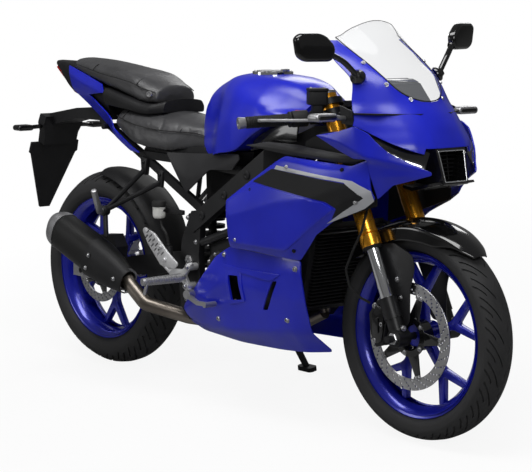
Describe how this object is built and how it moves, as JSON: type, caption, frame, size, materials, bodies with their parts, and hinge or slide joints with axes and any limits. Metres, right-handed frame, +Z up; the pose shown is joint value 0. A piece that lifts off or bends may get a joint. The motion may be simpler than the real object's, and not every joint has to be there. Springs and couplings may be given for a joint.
{
  "type": "sport motorcycle",
  "caption": "Fully faired sport motorcycle leaning on its side stand, with clip-on bars, upside-down fork, stepped seat, raised tail and a low side silencer.",
  "frame": {"origin": "the centre of the parked machine's plan, on the floor", "axes": "+X forward along the ground, +Y to the rider's left, +Z up; the machine leans 9 degrees towards +Y on its side stand"},
  "size_m": [2.083, 0.7906, 1.1507],
  "materials": {
    "alloy": "satin",
    "body_blue": "satin gloss",
    "chrome": "polished",
    "dark_grey": "satin",
    "engine_grey": "painted casting",
    "fork_gold": "anodised",
    "frame_black": "satin",
    "gloss_black": "gloss",
    "lamp_red": "clear",
    "matt_black": "grained",
    "pipe_steel": "heat tinted",
    "reservoir_white": "translucent",
    "rubber": "matt",
    "screen_clear": "clear",
    "seat_cover": "grained",
    "silencer_black": "matt",
    "steel": "ground",
    "tyre_black": "matt",
    "wheel_blue": "gloss"
  },
  "bodies": {
    "chassis": {"chain": "steel", "chain_adjusters": "alloy", "cheek_panels": "body_blue", "engine": "engine_grey", "exhaust_pipe": "pipe_steel", "filler_ring": "chrome", "footpeg_brackets": "alloy", "footpegs": "alloy", "fuel_tank": "body_blue", "headlamps": "gloss_black", "indicators": "gloss_black", "inner_panels": "matt_black", "instrument_panel": "matt_black", "lower_cowls": "body_blue", "main_frame": "frame_black", "mirrors": "matt_black", "nose_cowl": "body_blue", "nose_duct": "gloss_black", "passenger_seat": "seat_cover", "pedals": "alloy", "plate_hanger": "matt_black", "radiator": "frame_black", "rear_caliper": "frame_black", "rear_hugger": "matt_black", "rear_reservoir": "reservoir_white", "rear_shock": "frame_black", "rider_seat": "seat_cover", "seat_surround": "dark_grey", "shoulder_ducts": "dark_grey", "side_covers": "dark_grey", "side_fairings": "body_blue", "silencer": "silencer_black", "silencer_cap": "alloy", "silencer_guard": "matt_black", "subframe": "frame_black", "swingarm": "frame_black", "tail_core": "matt_black", "tail_lamp": "lamp_red", "tail_panels": "body_blue", "windscreen": "screen_clear"},
    "front_wheel": {"front_tyre": "tyre_black", "front_rim": "wheel_blue", "front_disc": "steel"},
    "rear_wheel": {"rear_tyre": "tyre_black", "rear_rim": "wheel_blue", "rear_disc": "steel", "rear_sprocket": "steel"},
    "steering": {"fork_outer_tubes": "fork_gold", "fork_inner_tubes": "chrome", "fork_feet": "frame_black", "triple_clamps": "frame_black", "handlebars": "frame_black", "grips": "rubber", "switch_housings": "matt_black", "hand_levers": "alloy", "front_fender": "gloss_black", "front_caliper": "frame_black", "brake_hose": "rubber"},
    "side_stand": {"side_stand": "frame_black"},
    "fuel_lid": {"fuel_cap": "alloy"}
  },
  "joints": [
    {"name": "steering_turn", "type": "hinge", "parent": "chassis", "child": "steering", "pos_m": [0.71433, -0.08347, 0.2746], "axis": [-0.4226, 0.1418, 0.8951], "range_deg": [-27, 27]},
    {"name": "front_wheel_spin", "type": "hinge", "parent": "steering", "child": "front_wheel", "pos_m": [0.74853, -0.08098, 0.29035], "axis": [0, 0.9877, -0.1564], "continuous": true},
    {"name": "rear_wheel_spin", "type": "hinge", "parent": "chassis", "child": "rear_wheel", "pos_m": [-0.63147, -0.07769, 0.31109], "axis": [0, 0.9877, -0.1564], "continuous": true},
    {"name": "side_stand_fold", "type": "hinge", "parent": "chassis", "child": "side_stand", "pos_m": [-0.05347, 0.08249, 0.22295], "axis": [-0.1286, 0.9763, 0.174], "range_deg": [0, 96]},
    {"name": "fuel_cap_lift", "type": "hinge", "parent": "chassis", "child": "fuel_lid", "pos_m": [0.16853, 0.02774, 0.9768], "axis": [0, 0.9877, -0.1564], "range_deg": [0, 90]}
  ]
}
